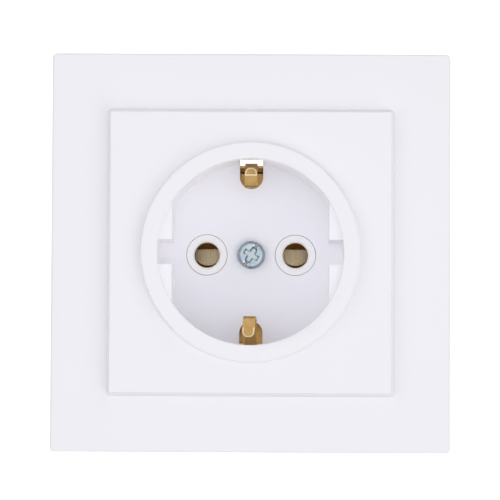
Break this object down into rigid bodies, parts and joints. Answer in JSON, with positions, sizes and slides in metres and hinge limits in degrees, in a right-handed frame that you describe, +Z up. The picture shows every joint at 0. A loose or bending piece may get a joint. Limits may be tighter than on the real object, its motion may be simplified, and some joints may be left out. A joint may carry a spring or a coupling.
{
  "type": "wall socket",
  "caption": "Flush earthed wall socket: square frame, raised centre plate with a round plug well and side earth springs, screw-fixed insert with brass contacts and terminals.",
  "frame": {"origin": "centre of the socket on the wall plane, midway between the box screws, on the support ring's back face", "axes": "+Y into the wall, away from the viewer, -Y out of the front of the socket, +Z up, +X to the right seen from the front"},
  "size_m": [0.084, 0.0416, 0.084],
  "materials": {
    "frame_plastic": "satin moulded thermoplastic",
    "plate_plastic": "satin moulded thermoplastic",
    "insert_plastic": "moulded, slightly warmer white",
    "housing_plastic": "moulded, plain",
    "ring_steel": "zinc plated sheet",
    "zinc_steel": "blue zinc plated",
    "spring_steel": "spring steel",
    "brass": "rolled sheet",
    "contact_brass": "rolled sheet, dulled",
    "rivet_brass": "tubular rivet"
  },
  "bodies": {
    "root": {"cover_frame": "frame_plastic", "centre_plate": "plate_plastic", "cover_screw": "zinc_steel", "support_ring": "ring_steel", "contact_cover": "insert_plastic", "base_housing": "housing_plastic", "earth_bracket": "brass", "screw_bush": "brass", "earth_clamp": "brass", "earth_screw": "zinc_steel", "earth_nut": "zinc_steel", "live_contact_left": "contact_brass", "contact_spring_left": "spring_steel", "terminal_clamp_left": "brass", "terminal_screw_left": "zinc_steel", "housing_rivet_lower_left": "rivet_brass", "housing_rivet_upper_left": "rivet_brass", "live_contact_right": "contact_brass", "contact_spring_right": "spring_steel", "terminal_clamp_right": "brass", "terminal_screw_right": "zinc_steel", "housing_rivet_lower_right": "rivet_brass", "housing_rivet_upper_right": "rivet_brass"}
  },
  "joints": []
}
